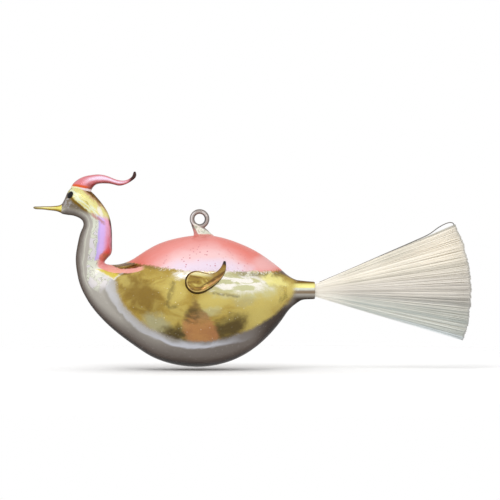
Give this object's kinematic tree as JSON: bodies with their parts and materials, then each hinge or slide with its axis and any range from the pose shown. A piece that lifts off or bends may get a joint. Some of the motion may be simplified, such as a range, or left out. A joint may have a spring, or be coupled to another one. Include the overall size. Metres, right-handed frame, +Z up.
{
  "type": "blown glass bird ornament",
  "caption": "Hollow silvered glass bird with a curved neck, beak, crest, comma wings, a hanging loop on its back and a fan tail of spun glass fibres.",
  "frame": {"origin": "centre of the hanging loop's hole", "axes": "+Z up as it hangs, the beak points along -X and the tail along +X, Y is across the bird"},
  "size_m": [0.21, 0.066, 0.0938],
  "materials": {
    "silvered_glass": "silvered inside, gold, pink and grey lacquers over it",
    "rosy_glass": "pink lacquer over glass",
    "gold_glass": "gold lacquer over glass",
    "amber_glass": "transparent, fire polished",
    "black_glass": "opaque, glossy",
    "clear_glass": "transparent, smoky, fire polished",
    "spun_glass": "bundled fine fibres, satin sheen",
    "cement": "dried glue, matt"
  },
  "bodies": {
    "root": {"blown_shell": "silvered_glass", "beak": "gold_glass", "crest": "rosy_glass", "hanging_loop": "clear_glass", "wing_left": "amber_glass", "eye_left": "black_glass", "wing_right": "amber_glass", "eye_right": "black_glass", "tail_cement": "cement", "tail_lock_01": "spun_glass", "tail_lock_02": "spun_glass", "tail_lock_03": "spun_glass", "tail_lock_04": "spun_glass", "tail_lock_05": "spun_glass", "tail_lock_06": "spun_glass", "tail_lock_07": "spun_glass", "tail_lock_08": "spun_glass", "tail_lock_09": "spun_glass", "tail_lock_10": "spun_glass", "tail_lock_11": "spun_glass", "tail_lock_12": "spun_glass", "tail_lock_13": "spun_glass", "tail_lock_14": "spun_glass", "stray_fibre": "spun_glass"}
  },
  "joints": []
}
